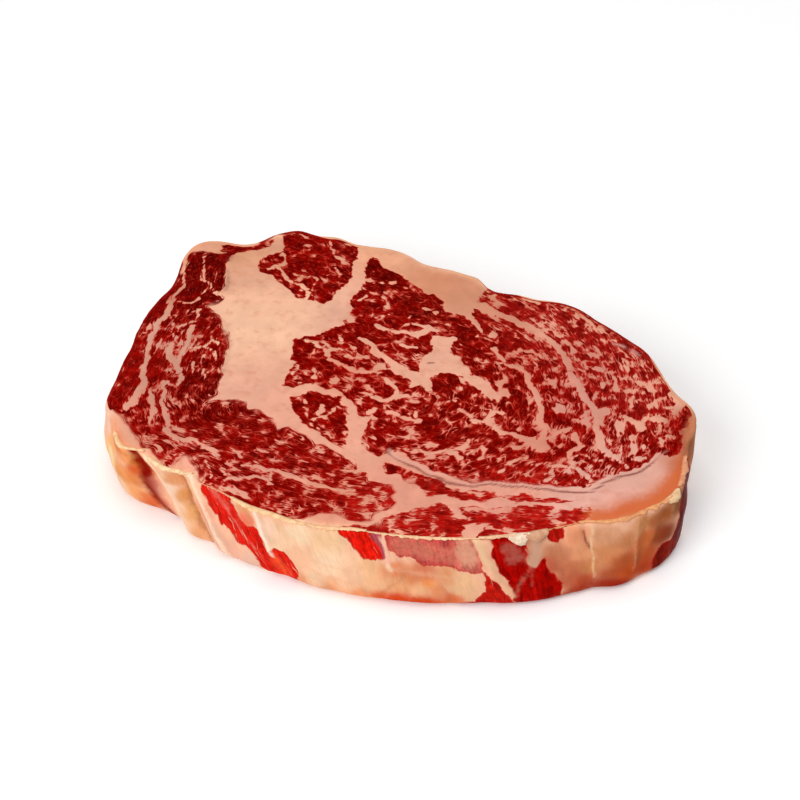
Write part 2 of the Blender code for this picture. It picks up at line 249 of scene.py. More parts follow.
# Veins of fat inside the lean: widths spread along the vein, then its points.
VEINS = (
    ((1.0, 1.3, 1.8, 2.5, 2.0, 2.2, 2.6, 3.2, 2.8), (
        (-76, 58), (-76.2, 48), (-75.5, 45), (-78, 40.5), (-79.8, 36), (-79.8, 30), (-83, 24),
        (-85.5, 18.5), (-85.5, 9), (-85.3, 0), (-84.5, -4), (-86.5, -8), (-87, -12), (-90, -15.5))),
    ((0.9,), ((-79.8, 30), (-78.8, 28), (-77.5, 25), (-75.5, 23), (-72.8, 25), (-70.5, 26),
              (-69.2, 29), (-69.4, 32))),
    ((1.0, 1.0, 1.5), ((-69.4, 61.5), (-70, 56), (-69.1, 53), (-69.4, 48), (-67.5, 45),
                       (-65.5, 41.8), (-63, 40.5))),
    ((0.7,), ((-69.4, 41), (-68, 43.3))),
    ((0.6,), ((-70, 39), (-71.5, 36.5), (-74, 35.5), (-77, 37))),
    ((1.2, 2.0, 3.0, 2.2, 1.2), ((-77.5, 22.5), (-76.8, 18), (-78, 13), (-77.5, 8), (-75.5, 5.5),
                                 (-74.5, 3), (-73.5, -2), (-74, -5))),
    ((1.4, 2.0, 1.6), ((-71, 24), (-71.3, 19), (-72, 15), (-73, 11), (-75, 6))),
    ((1.5, 1.2, 1.0), ((-70.5, 12.5), (-68, 12.5), (-66, 14), (-64.5, 16.5), (-62, 16))),
    ((0.7,), ((-65.5, 13), (-63, 10), (-62, 7))),
    ((0.6,), ((-66.5, 8.5), (-65.5, 2), (-65, -1))),
    ((0.6,), ((-69.5, 6), (-69.5, 0))),
    ((1.2, 2.0, 1.2), ((-82.7, -7), (-81.5, -12.5), (-80, -16.5), (-81, -20), (-80, -24))),
    ((1.2, 2.0, 2.5, 2.0, 1.5), ((-78, -3), (-78.5, -6), (-77.5, -14), (-75.5, -21.5), (-75, -26),
                                 (-72, -29.5), (-65, -31.5), (-60, -35), (-57.5, -37.5))),
    ((0.5,), ((-75, -22), (-73.5, -24.5), (-70, -25.2), (-66, -25.5))),
    ((1.2,), ((-55.5, -47.3), (-52.5, -47), (-46, -45.5), (-43.5, -46.5), (-40, -49.5))),
    ((1.0, 2.0, 1.8, 1.6, 1.2), ((-50, -41), (-45.5, -41.5), (-38.5, -43.5), (-35, -45),
                                 (-30, -47.5), (-25.5, -49.5), (-21, -52), (-14, -52))),
    ((1.0,), ((-40.5, -43), (-40.5, -47))),
    ((1.0,), ((-56.5, -42), (-55.5, -45))),
    ((0.8,), ((-61.5, -39), (-60, -45))),
    ((1.3,), ((-46.5, 53.5), (-45, 55), (-42.5, 56), (-40.8, 57.5), (-42.3, 61.5))),
    ((1.2, 1.5, 1.8), ((-43.5, 55), (-41.5, 52), (-40, 49.5), (-37.5, 46.5), (-32.5, 43),
                       (-31.8, 40), (-32.5, 37.5))),
    ((1.0,), ((-37.5, 52), (-34, 50.5), (-32, 50.5), (-29.5, 48), (-30, 45), (-31.3, 42))),
    ((1.0,), ((-25.5, 69), (-25, 66), (-23, 63.5), (-22.3, 61), (-20, 58.5), (-19.3, 56))),
    ((1.0,), ((-23, 56), (-21, 50))),
    ((0.8,), ((-31.5, -11), (-30.5, -15), (-30, -20), (-28, -23))),
    ((1.0,), ((-28, -20.5), (-24, -19), (-22, -17), (-20, -15.5))),
    ((1.0,), ((-5, 37.5), (-5, 32))),
    ((0.8,), ((-13.5, 37), (-12, 39))),
    ((1.0,), ((8.5, 33), (12, 30))),
    ((1.5, 1.5, 3.0, 1.5), ((-8.5, 24), (-5, 22.5), (-1.5, 21), (2.5, 20), (6, 19), (8, 20),
                            (11, 21.5), (14, 21))),
    ((1.0, 1.5, 2.5), ((0.5, 23), (3, 24.5), (7, 24), (10, 23), (12, 21.5))),
    ((1.5,), ((1, 14.5), (3, 13), (6, 13))),
    ((1.0, 1.5), ((-32, 17), (-30, 15.5), (-27, 13.5), (-24.5, 11.5), (-24, 10))),
    ((1.3,), ((-21, 20.5), (-20, 17), (-17.5, 14.5), (-15, 12.5))),
    ((1.3,), ((-23.5, 12.5), (-20, 12), (-17.5, 10), (-16.5, 8), (-14, 8), (-11, 8.5))),
    ((1.8,), ((-23, 7.5), (-20, 5.5), (-15, 2), (-12, 1), (-8.5, 2.5), (-5.5, 3.5))),
    ((2.0,), ((-4, -2.5), (-2.5, -5), (-0.5, -8), (-1, -10.5), (-5, -12), (-8.5, -10.5))),
    ((1.8,), ((0, -10.5), (3, -9.5))),
    ((2.0,), ((-8, -16), (-10.5, -18))),
    ((1.8, 3.0, 4.0, 4.0, 2.0), ((-13, 17.5), (-10.5, 14.5), (-7.5, 10.5), (-2.5, 5.5), (1, 3),
                                 (4, 0.5), (7, -2), (9, -5), (10, -8.5))),
    ((2.8, 1.8, 1.0), ((24, 29), (26.5, 25), (27.3, 21), (26, 19))),
    ((1.0,), ((36, 23), (39, 20), (40.5, 17))),
    ((2.5, 2.0, 2.0, 2.5, 2.0, 1.8), (
        (31.5, 12), (33, 9), (35.5, 5.5), (39, 3), (41.5, 1), (42.5, -2.5), (44, -7.5),
        (45.5, -14), (46, -22), (47.5, -25), (50, -27))),
    ((1.8,), ((19.5, -17), (22.5, -19.5), (23.5, -22), (27, -22.5), (30, -21.5), (30.5, -19))),
    ((1.2,), ((25.5, -15), (28, -16), (31, -17.5), (35, -18))),
    ((2.2, 1.8, 2.4, 5.0), ((29, -21.5), (31.5, -25), (34, -27), (37.5, -28), (42.5, -30.5),
                            (45, -33))),
    ((2.5,), ((45, -31), (47, -25), (45, -22.5))),
    ((1.8,), ((48, -29), (51, -27.5), (54.5, -25))),
    ((1.5,), ((40, -37.5), (37, -38.5), (35, -40), (32, -43.5))),
    ((1.8,), ((6, -34.5), (8, -36), (12.5, -36), (15, -34.5), (17.5, -35.5), (19.5, -38.5))),
    ((2.0,), ((56, -28), (58, -32.5), (55, -34.5), (54, -36.5), (54.5, -39.5), (56, -42),
              (59, -45), (61, -48))),
    ((1.5,), ((53, -41.5), (50, -41), (48, -42), (47, -45), (46, -48))),
    ((0.7,), ((57, -37), (65, -39))),
    ((3.5, 3.2, 2.5, 3.0, 2.0, 2.8, 3.6, 3.0, 2.2, 1.5), (
        (22, 37), (30, 32), (35, 28.5), (44, 23.5), (50, 17), (53, 14), (55, 10), (56, 5),
        (56.8, 0), (60, -9), (63.5, -16.5), (64, -20), (63.5, -25), (65, -34), (70, -39),
        (72, -41.5))),
    ((2.5,), ((73, -19.5), (76, -22.5), (79, -25))),
    ((3.0,), ((90, -9), (92, -14), (90, -17.5))),
)

# Flecks of fat: place, half width and half depth.
FLECKS = (
    (-33, 67, 1.2, 0.8), (-31, 61, 0.9, 0.8), (-25.3, 51, 0.9, 0.8), (-67.5, -41, 2.0, 3.2),
    (-26.2, -16.5, 1.5, 2.0), (-9, 47.3, 0.6, 0.5), (-6, 46.5, 0.7, 0.6), (-3, 46, 1.3, 0.6),
    (2, 43.3, 0.6, 0.5), (-5.3, 39, 1.3, 1.1), (-3.5, 29.5, 1.6, 0.8), (3.8, 28, 0.6, 1.0),
    (12.5, 31, 0.9, 0.8), (-28.7, 1, 1.2, 3.0), (-21.5, -2.5, 2.0, 1.9), (-35.5, 1, 0.8, 0.9),
    (-33, -3.5, 0.8, 0.8), (-13.5, -13, 1.3, 1.2), (32, 19, 1.4, 1.9), (42.7, 19, 0.8, 1.0),
    (44, 8, 0.8, 0.9), (47, 9, 0.9, 0.7), (45, 5, 0.7, 0.9), (52.5, -16, 2.4, 2.2),
    (5.5, -19, 0.9, 3.0), (12.7, -16.5, 1.0, 0.8), (17, -13, 1.1, 0.8), (19, -7, 1.5, 1.3),
    (44.5, -33, 2.4, 2.8), (67, -16.5, 2.8, 1.9), (66.7, 2.5, 1.7, 1.1), (76, 3, 1.0, 2.0),
    (67, -4.5, 1.2, 1.2), (88.5, -14.5, 1.6, 0.8), (86.5, -28, 2.0, 1.0), (79, -33, 1.2, 1.2),
    (76.5, -38.5, 2.0, 0.9), (83.5, -21, 2.6, 1.6), (71.5, -24, 1.6, 3.0),
)

# The star of fat in the middle of the eye.
STAR = (
    (12, 18), (15, 18.5), (18.5, 19.3), (19.5, 17), (17.5, 14), (17.3, 10), (20, 8.5),
    (20.5, 4.5), (23, 2.5), (24, 0), (27, -1), (30, -4), (32, -8), (33.5, -11.5), (32.5, -13),
    (30, -11.5), (27.5, -9.5), (26, -6.5), (23, -4.5), (21, -2.5), (19, 0), (14, 0.5), (10, -2),
    (10, -5), (9, -9), (7, -6.5), (3, -7), (3.5, -4), (0, 0), (-5, 3), (6, 1.5), (7, 7.5),
    (11, 11.5), (11.8, 15),
)
FRONT_NOTCH = ((19, -66), (27, -66), (24, -71), (22, -77), (20, -77))


def distance_to_line(points, start, end):
    """Distance of points from a straight stretch, and how far along it each lies (0 to 1)."""
    start = np.array(start, float)
    run = np.array(end, float) - start
    along = np.clip(((points - start) @ run) / max(run @ run, 1e-9), 0.0, 1.0)
    gap = points - start - along[:, None] * run
    return np.hypot(gap[:, 0], gap[:, 1]), along


def depth_inside(points, outline):
    """Distance to an outline, above zero inside it and below zero outside."""
    nearest = np.full(len(points), 1e9)
    inside = np.zeros(len(points), bool)
    for (x0, y0), (x1, y1) in zip(outline, outline[1:] + outline[:1]):
        nearest = np.minimum(nearest, distance_to_line(points, (x0, y0), (x1, y1))[0])
        if y0 != y1:
            crosses = (points[:, 1] < y0) != (points[:, 1] < y1)
            inside ^= crosses & (points[:, 0] < x0 + (points[:, 1] - y0) * (x1 - x0) / (y1 - y0))
    return np.where(inside, nearest, -nearest)


def gap_to_vein(points, widths, path):
    """Distance to the side of a vein, below zero within it."""
    stops = np.linspace(0.0, 1.0, len(path))
    halves = 0.5 * np.interp(stops, np.linspace(0.0, 1.0, len(widths)), widths)
    gap = np.full(len(points), 1e9)
    for index in range(len(path) - 1):
        away, along = distance_to_line(points, path[index], path[index + 1])
        half = halves[index] + (halves[index + 1] - halves[index]) * along
        gap = np.minimum(gap, away - half)
    return gap


def gap_to_fleck(points, x, y, half_width, half_depth):
    """Distance to the edge of an oval fleck, below zero within it."""
    across = np.hypot((points[:, 0] - x) / half_width, (points[:, 1] - y) / half_depth)
    return (across - 1.0) * min(half_width, half_depth)


def wandered(points, size, amount, seed):
    """Points pushed about by a smooth random field, so that drawn lines turn ragged."""
    pushes = [noise.noise_vector(Vector((x / size, y / size, seed))) for x, y in points]
    return points + np.array(pushes)[:, :2] * amount


def lean_depth(points, veined):
    """How deep each point lies in lean meat, in millimetres, below zero in fat."""
    depth = np.max([depth_inside(points, outline) for outline in MUSCLES], axis=0)
    if veined:
        for widths, path in VEINS:
            depth = np.minimum(depth, gap_to_vein(points, np.maximum(widths, 0.85), path))
        for fleck in FLECKS:
            depth = np.minimum(depth, gap_to_fleck(points, *fleck))
    depth = np.minimum(depth, -depth_inside(points, STAR))
    return np.minimum(depth, -depth_inside(points, FRONT_NOTCH))


def eased(values, low, high):
    """0 at low, 1 at high, smooth between."""
    t = np.clip((values - low) / (high - low), 0.0, 1.0)
    return t * t * (3.0 - 2.0 * t)


def blended(points, spots, others):
    """A value that drifts between named spots: x, y, reach, value."""
    total = np.full(len(points), 0.05)
    sums = total * others
    for x, y, size, value in spots:
        weight = np.exp(-((points[:, 0] - x) ** 2 + (points[:, 1] - y) ** 2) / (size * size))
        total = total + weight
        sums = sums + weight * value
    return sums / total


# How richly each part of the lean is marbled, 0 bare to 1 rich.
RICHNESS = (
    (-70, 50, 12, 0.02), (-66, 30, 8, 0.3), (-72, 10, 10, 0.45), (-88, 8, 6, 0.1), (-83, 36, 6, 0.02), (-92, -8, 5, 0.3),
    (-66, -5, 8, 0.35), (-66, -20, 10, 0.38), (-45, -30, 14, 0.5), (-25, -42, 12, 0.6),
    (-10, -57, 9, 0.6), (-75, -33, 8, 0.6), (-50, -50, 9, 0.45), (-30, 58, 10, 0.3),
    (-2, 50, 9, 0.05), (5, 36, 10, 0.3), (-10, 35, 8, 0.4), (-25, 10, 9, 0.3),
    (-18, -4, 9, 0.5), (0, 14, 8, 0.5), (10, -17, 11, 0.45), (28, 20, 9, 0.3),
    (33, -2, 7, 0.35), (46, 6, 9, 0.6), (42, -36, 12, 0.55), (20, -38, 12, 0.6),
    (4, -28, 8, 0.5), (60, -40, 9, 0.66), (-27, -17, 7, 0.2), (40, 36, 10, 0.6),
    (60, 22, 12, 0.7), (75, 0, 14, 0.65), (73, -26, 10, 0.6), (84, -32, 8, 0.45),
    (0, -68, 12, 0.58), (35, -66, 14, 0.55), (20, -53, 10, 0.5), (45, -60, 12, 0.58),
)


# The cap and the front strip are closer grained than the eye, and so is the band outside it.
FINE_GRAIN = 1.7
FINER_OUTSIDE = 0.5
EYE_REACH = 46.0


def grain_across(points, cap_share, low_share, rim_gap):
    """Distance across the grain: round the rim in the cap, round the eye elsewhere."""
    away, along = distance_to_line(points, (-60.0, 32.0), (5.0, -10.0))
    round_eye = np.sqrt(away * away + 16.0)
    round_eye = round_eye + FINER_OUTSIDE * np.maximum(0.0, round_eye - EYE_REACH)
    grain = round_eye * (1.0 - low_share) + FINE_GRAIN * points[:, 1] * low_share
    return grain * (1.0 - cap_share) + FINE_GRAIN * rim_gap * cap_share


# --- Colour of the fat and lean, as it changes over the slice --------------------------


def linear(code):
    """The linear value of an sRGB hex colour."""
    parts = np.array([int(code[i:i + 2], 16) for i in (1, 3, 5)]) / 255.0
    return np.where(parts <= 0.04045, parts / 12.92, ((parts + 0.055) / 1.055) ** 2.4)


SEAM_FAT = "#E6A38A"
FAT_AND_SHADE_SPOTS = (
    # The spots at (-52, 52) and (-56, 62) are darker partly by the fat's own tone and partly as painted shade at
    # the back of the face.
    (-45, 25, 18, "#F2BE9D"), (-42, 2, 10, "#E3A68B"), (-52, -6, 9, "#E1A68E"), (-52, 52, 11, "#DCA183"),
    (-56, 62, 7, "#D2946F"), (-22, 26, 9, "#DDA48C"), (-38, -13, 8, "#E6A48B"), (-40, 38, 9, "#EEB494"),
    (0, 64, 10, "#EAA884"), (16, 50, 11, "#D18B69"), (26, 42, 8, "#CC8C6E"), (75, -48, 11, "#DFA796"),
    (60, -54, 9, "#E4AA9A"), (70, -60, 5, "#D46C43"), (82, -54, 5, "#C96438"), (90, -42, 5, "#C0633C"),
    (95, -25, 5, "#9E5039"), (15, 8, 11, "#E6AA90"), (-78, 2, 9, "#C98E7A"), (-72, 22, 8, "#CB907C"),
    (-77, -20, 8, "#CE8C78"), (-84, 20, 6, "#D49A86"), (-80, 40, 6, "#C88870"), (40, 5, 8, "#D68B74"),
    (60, -12, 8, "#D18E7E"), (60, 5, 7, "#CE8876"), (35, 30, 7, "#CE8870"), (-45, -44, 10, "#DA9480"),
    (-20, -54, 7, "#DC9278"), (48, -30, 8, "#D68A75"), (-20, 4, 8, "#D98E75"), (-35, 55, 8, "#CC8468"),
    (5, -48, 8, "#DE9680"), (30, -58, 9, "#E09A86"), (-88, -30, 7, "#DA9C80"), (-58, -54, 6, "#E8B49C"),
)
LEAN_MEAT = "#7C0300"
LEAN_SPOTS = (
    (-70, 48, 12, "#620200"), (-64, -8, 8, "#620200"), (-90, 5, 6, "#7E0602"),
    (-82, 42, 6, "#860804"), (-8, 54, 8, "#680300"), (14, 35, 8, "#6C0400"),
    (40, 30, 10, "#820A06"), (62, 20, 14, "#860E0A"), (75, -5, 12, "#820C09"),
    (0, -68, 12, "#A00E08"), (40, -66, 12, "#A8100A"), (22, -5, 14, "#740400"),
)


def colour_over(points, spots, others):
    """A colour that drifts between named spots, in linear values."""
    channels = []
    base = linear(others)
    for channel in range(3):
        values = [(x, y, size, linear(code)[channel]) for x, y, size, code in spots]
        channels.append(blended(points, values, base[channel]))
    return np.stack(channels, axis=1)


flat = place[:, :2] / MM - np.array([MAP_SHIFT, 0.0])
rough = wandered(wandered(flat, 6.0, 1.3, 3.1), 2.2, 0.6, 8.7)
below = wandered(flat, 26.0, 5.0, 21.3)
drawn = np.where(on_foot[:, None], wandered(below, 3.0, 0.9, 5.5), rough)

lean = np.zeros(len(place))
lean[~on_foot] = lean_depth(drawn[~on_foot], True)
lean[on_foot] = lean_depth(drawn[on_foot], False)
rim_gap = np.where(on_foot, foot_radius, rim_radius) * (1.0 - share) / MM
in_cap = eased(depth_inside(drawn, CAP), -1.5, 1.5)
in_front = eased(-40.0 - drawn[:, 1] - 0.12 * np.abs(drawn[:, 0] - 20.0), 6.0, 9.0)
in_front = in_front * eased(drawn[:, 0], -9.0, -5.0)
grain = grain_across(flat, in_cap, in_front, rim_gap)
richness = blended(flat, RICHNESS, 0.5)
fat_and_shade_colour = colour_over(flat, FAT_AND_SHADE_SPOTS, SEAM_FAT)
lean_and_shade_colour = colour_over(flat, LEAN_SPOTS, LEAN_MEAT)

# Skins and stains, and two painted sheen highlights, that lie over lean and fat alike: colour, strength, width,
# soft edge, path.
FACE_MARKS = (
    ("#86463E", 0.9, 0.55, 0.45, ((-4.4, -34.6), (-3.5, -36), (-0.5, -39), (2.5, -41.5),
                                 (6.5, -44), (11, -46), (15, -48.5), (19, -49.8), (24, -50.3),
                                 (30, -50), (40, -51.4), (50, -52), (55, -53), (60, -52),
                                 (64, -50), (67, -48), (69.5, -46), (75, -44), (80, -40.5))),
    ("#E4AC9A", 0.6, 0.8, 0.6, ((-4, -34), (-1.5, -37.5), (3, -40.6), (8, -43), (13, -45.6),
                                (19, -48.2), (25, -49), (30, -48.9), (40, -50.2), (50, -50.8),
                                (58, -51), (65, -47.4))),
    ("#A86A5E", 0.6, 0.6, 0.4, ((80, -40.5), (84, -36.5), (86, -34.5))),
    ("#7C5048", 0.6, 0.9, 0.9, ((-59.6, 60), (-60.2, 57.5))),
    ("#8A5C50", 0.55, 1.0, 1.0, ((-60.8, 53), (-61.2, 47), (-61.6, 42.5))),
    ("#7C4A42", 0.55, 1.2, 0.9, ((-66.5, 35.4), (-63.6, 36.6))),
    ("#A07868", 0.4, 0.6, 0.8, ((-60.2, 22), (-57.8, 17), (-58.4, 8), (-58.8, 2))),
    ("#6E3A30", 0.8, 0.45, 0.3, ((9.4, 5.2), (11.6, 5.0))),
    ("#B9877A", 0.5, 0.4, 0.4, ((-38.5, -13.5), (-37.2, -16), (-35.8, -18))),
    # Painted highlight: two pale pink streaks stand in for the wet sheen on the upper right of the face.
    ("#F6BCAC", 0.55, 0.6, 1.4, ((72.6, 15.2), (75.0, 14.0))),
    ("#F8C0B0", 0.6, 0.7, 1.4, ((78.0, 11.8), (79.8, 9.6))),
    ("#D2683A", 0.95, 3.6, 4.2, ((60, -63.2), (66, -62.2), (74, -59), (82, -53.8), (88.6, -46.4), (93, -38))),
    ("#D4825C", 0.5, 2.0, 2.5, ((93, -30), (95.5, -20))),
    ("#E08A66", 0.6, 0.9, 0.9, ((-93.4, -20.5), (-92.4, -23.7), (-91.6, -27.1), (-90.4, -30.4))),
)


def painted(points, marks):
    """Colour (already times its strength) and strength of marks laid one over another."""
    marks_and_painted_light = np.zeros(len(points))
    colour = np.zeros((len(points), 3))
    for code, strength, width, soft, path in marks:
        gap = gap_to_vein(points, (width,), path)
        part = strength * (1.0 - eased(gap, -0.3 * soft, soft))
        marks_and_painted_light = marks_and_painted_light * (1.0 - part) + part
        colour = colour * (1.0 - part)[:, None] + linear(code) * part[:, None]
    return colour, marks_and_painted_light


# The face marks are laid on as colour: skins and stains, with the painted sheen highlights.
marks_and_painted_light_colour, marks_and_painted_light = painted(wandered(flat, 6.0, 1.3, 3.1), FACE_MARKS)
marks_and_painted_light[on_foot] = 0.0

# --- The side wall ----------------------------------------------------------------------
# Trimmed outer fat, cream to tan, with stretches where the knife left lean showing; shade is painted under the
# front lips and over the right end.
# Places on the wall are a bearing in degrees and a height in millimetres.

DEGREE_ARC = 1.55
CREAM_FAT = "#F2B795"
WALL_FAT_AND_SHADE = (
    (190, 24, 3, "#F5C3A8"), (190, 12, 3, "#F4BE88"), (193, 26, 2, "#F1A47D"), (194, 20, 2, "#F2AD70"),
    # From 197 to 202.6 degrees near the top, the orange-browns are painted shadow under the first lip.
    (197, 25, 2, "#E27D42"), (200, 24, 2, "#ED965A"), (202.6, 23, 1.4, "#C36719"),
    (195, 13, 2.5, "#F9DDA2"), (199, 14, 2.5, "#E69254"), (202, 15, 2, "#DB8045"), (203, 19, 1.6, "#D85822"),
    (194, 7, 2, "#F2AC6C"), (198, 7, 2, "#ECBD94"), (201.5, 8, 2, "#F1A367"), (204, 5, 2, "#DD6330"),
    (207, 23, 1.6, "#E8B893"), (209, 17, 1.8, "#F2CEB1"), (211, 11, 2, "#F2C8AA"), (213.5, 5, 2, "#F1C7A6"),
    (210, 23, 1.6, "#E19867"), (212.6, 17, 1.6, "#DE9658"), (215, 11, 2, "#E7A76B"), (217, 4, 2, "#E9A574"),
    (215.4, 22, 1.8, "#F4C096"), (218.6, 15, 2, "#EC9E80"), (221.6, 9, 2.5, "#E0A88E"), (226, 4, 3, "#E6AB92"),
    (232, 3, 2.5, "#E0B49E"), (224, 26, 1.6, "#EFB48C"), (229.5, 25.5, 1.4, "#E29A6B"),
    (230.6, 21.6, 1.8, "#E67155"), (236, 21, 2.5, "#F1C7AB"), (240.5, 18, 3, "#EAC19C"),
    (238.6, 12, 2, "#F4CCA8"), (246, 14, 4, "#EDB793"), (245, 23, 3, "#F3D3AD"), (252, 22, 4, "#F0C396"),
    (253, 15, 4, "#F5D0AC"), (259, 12, 4, "#F2BF9A"), (250, 7, 4, "#F2C7A2"), (258, 6, 3, "#F4C09A"),
    (246, 2, 3, "#E4966C"), (253, 2.4, 3, "#EE9C6C"), (260, 2, 3, "#E98E58"), (262.6, 14, 3, "#F0B787"),
    (264.6, 9, 3, "#F2B88B"), (266, 12.6, 2, "#E39264"), (270, 14.6, 2, "#E68759"), (273, 12.6, 2.5, "#E08456"),
    (276, 15, 2.5, "#DD7D57"), (281, 14, 2.5, "#E09566"), (270, 8.4, 2.5, "#E4A171"), (275, 8, 2.5, "#F4B586"),
    (279, 7.6, 2, "#DB885D"), (284.6, 9.6, 3, "#EDB98C"), (277, 11, 1.6, "#F49650"), (265, 3.6, 2, "#DF5A26"),
    (270, 2.6, 2.5, "#D02404"), (276, 2.0, 2.5, "#C41E04"), (282, 2, 2.5, "#D86A3C"), (286, 25, 2, "#E4A084"),
    (288.6, 21, 2, "#E6A486"), (300, 26, 2, "#C47C5A"), (299.6, 20, 1.6, "#C4785C"),
    (305, 19.6, 2.5, "#C97C57"), (303.6, 16, 2, "#C45C40"), (307, 14, 2.5, "#CF734D"), (306.4, 9, 2.5, "#C05F3F"),
    (309, 6, 2.5, "#C04C28"), (309, 24, 2, "#F39C70"), (309.4, 18, 2, "#E89A6C"), (310.6, 12, 2, "#C87A47"),
    (313.6, 23, 2, "#D1926B"), (314, 16, 2.5, "#D58958"), (316.6, 20, 2, "#C3784B"), (316.6, 12, 3, "#B24D1F"),
    # From about bearing 320 round to 355, the tan fat is painted into deep browns: painted shade over its own
    # colour.
    (317, 7, 2.5, "#C3480C"), (314, 8, 2, "#A84722"), (315, 2, 2.5, "#901004"), (320.6, 24, 2, "#D48B57"),
    (320.6, 17, 2.5, "#D36932"), (321, 11, 2.5, "#B44A17"), (320.6, 6, 2.5, "#BC3703"), (323.6, 23, 2, "#AD5D2E"),
    (324.4, 16, 2.5, "#8C2E06"), (326.4, 24, 2, "#A4501C"), (328.6, 26, 2, "#9C6238"), (330, 22, 2, "#7E3C08"),
    (334, 25, 3, "#783A14"), (340, 24, 4, "#96502C"), (346, 20, 5, "#B06640"), (354, 12, 7, "#A8603A"),
    (4, 12, 9, "#C07C54"), (20, 14, 12, "#DA9670"), (45, 8, 10, "#E2A17C"), (60, 22, 10, "#E8AC86"),
    (82, 14, 12, "#EAAE8C"), (100, 22, 9, "#E7A882"), (118, 8, 10, "#EFB892"), (138, 18, 10, "#E6A07C"),
    (158, 6, 8, "#E8A47A"), (178, 10, 8, "#ECAC7C"),
)
# Stretches of lean: colour, how streaked with fat, then the outline.
WALL_LEANS = (
    ("#DC1C10", 0.5, ((217, 28.6), (217.7, 25.5), (218.5, 23.5), (220.2, 20.6), (222, 17.9),
                      (223.5, 14.7), (225.5, 14.9), (227.2, 12.4), (229.1, 10.5), (230.8, 9.7),
                      (233.3, 7.5), (234.6, 3.3), (238.6, 0), (244.2, 0), (244.6, 2.7),
                      (244.4, 8), (243, 10.5), (240.8, 12.3), (238.1, 12.8), (236.9, 11.3),
                      (235.7, 14.6), (234.1, 18.4), (233.1, 20.2), (231.1, 19.3), (228.6, 20.2),
                      (227.2, 25.3), (225.8, 28.6))),
    ("#E41A0C", 0.3, ((254.6, 28.6), (256.2, 26.2), (258, 23.3), (260.2, 19.4), (261.9, 18.6),
                      (264.3, 18.1), (266.6, 19), (266.6, 21.6), (264.7, 24.5), (263, 26.9),
                      (262.6, 28.6))),
    ("#A84850", 0.3, ((262.6, 28.6), (264.9, 23.2), (266.4, 18.6), (267.2, 19.1), (266.8, 24.1),
                      (265.9, 26.7), (265.6, 28.6))),
    ("#BC4440", 0.0, ((266.6, 28.6), (268, 22.9), (271.3, 20.9), (273.7, 19.8), (275.2, 17.9),
                      (279.1, 17.7), (282.9, 17.9), (283.6, 22.9), (283.4, 28.6))),
    ("#C85A50", 0.0, ((283.4, 28.6), (283.2, 17.6), (285.4, 16), (288.8, 15), (289.2, 18),
                      (288.4, 23), (287.8, 28.6))),
    ("#A60400", 0.05, ((291.2, 28.6), (296.8, 28.6), (298.5, 26.2), (298.5, 20.7), (298, 17.6),
                       (298.9, 16.4), (300.2, 16), (301.5, 18.5), (302.3, 19.3), (302.9, 14.1),
                       (304.9, 7.6), (305.1, 0), (296.2, 0), (295.7, 6.4), (294.5, 12.1),
                       (292.4, 16), (291.7, 20.9))),
    ("#C01A0E", 0.4, ((289.6, 15.4), (291.3, 12.9), (293.3, 8.6), (295.4, 4.3), (296, 0),
                      (283, 0), (285.4, 2.2), (288, 2.9), (289.7, 7.2), (289.6, 11.1))),
    ("#B8160C", 0.15, ((302.8, 28.6), (303.8, 24.8), (305.1, 22.8), (307, 25), (307.4, 28.6))),
    # The lean at the right end is real, but it is painted near black as shade.
    ("#6C0C04", 0.0, ((338, 27.5), (331.3, 26.7), (329, 21.8), (327.7, 16.5), (326.9, 11.5),
                      (328.4, 8), (332, 4), (345, 0), (344, 10), (342, 18), (340, 26))),
    ("#801404", 0.0, ((327.1, 12.4), (325.2, 11.7), (323.1, 10.3), (322.5, 4.9), (322.8, 0),
                      (334, 0), (331, 5), (328.4, 8))),
    ("#8E0E08", 0.4, ((6, 28.6), (14, 16), (20, 12), (27, 17), (32, 28.6))),
    ("#940E08", 0.4, ((44, 28.6), (47, 20), (55, 15), (60, 21), (62, 28.6))),
    ("#8A0C06", 0.35, ((88, 8), (96, 15), (108, 13), (112, 5), (100, 1), (90, 2))),
    ("#980E08", 0.4, ((112, 28.6), (114, 22), (122, 19), (127, 23), (126, 28.6))),
    ("#940E06", 0.4, ((143, 28.6), (148, 15), (155, 9), (163, 14), (170, 9), (178, 15), (184, 22),
                      (187, 28.6))),
)
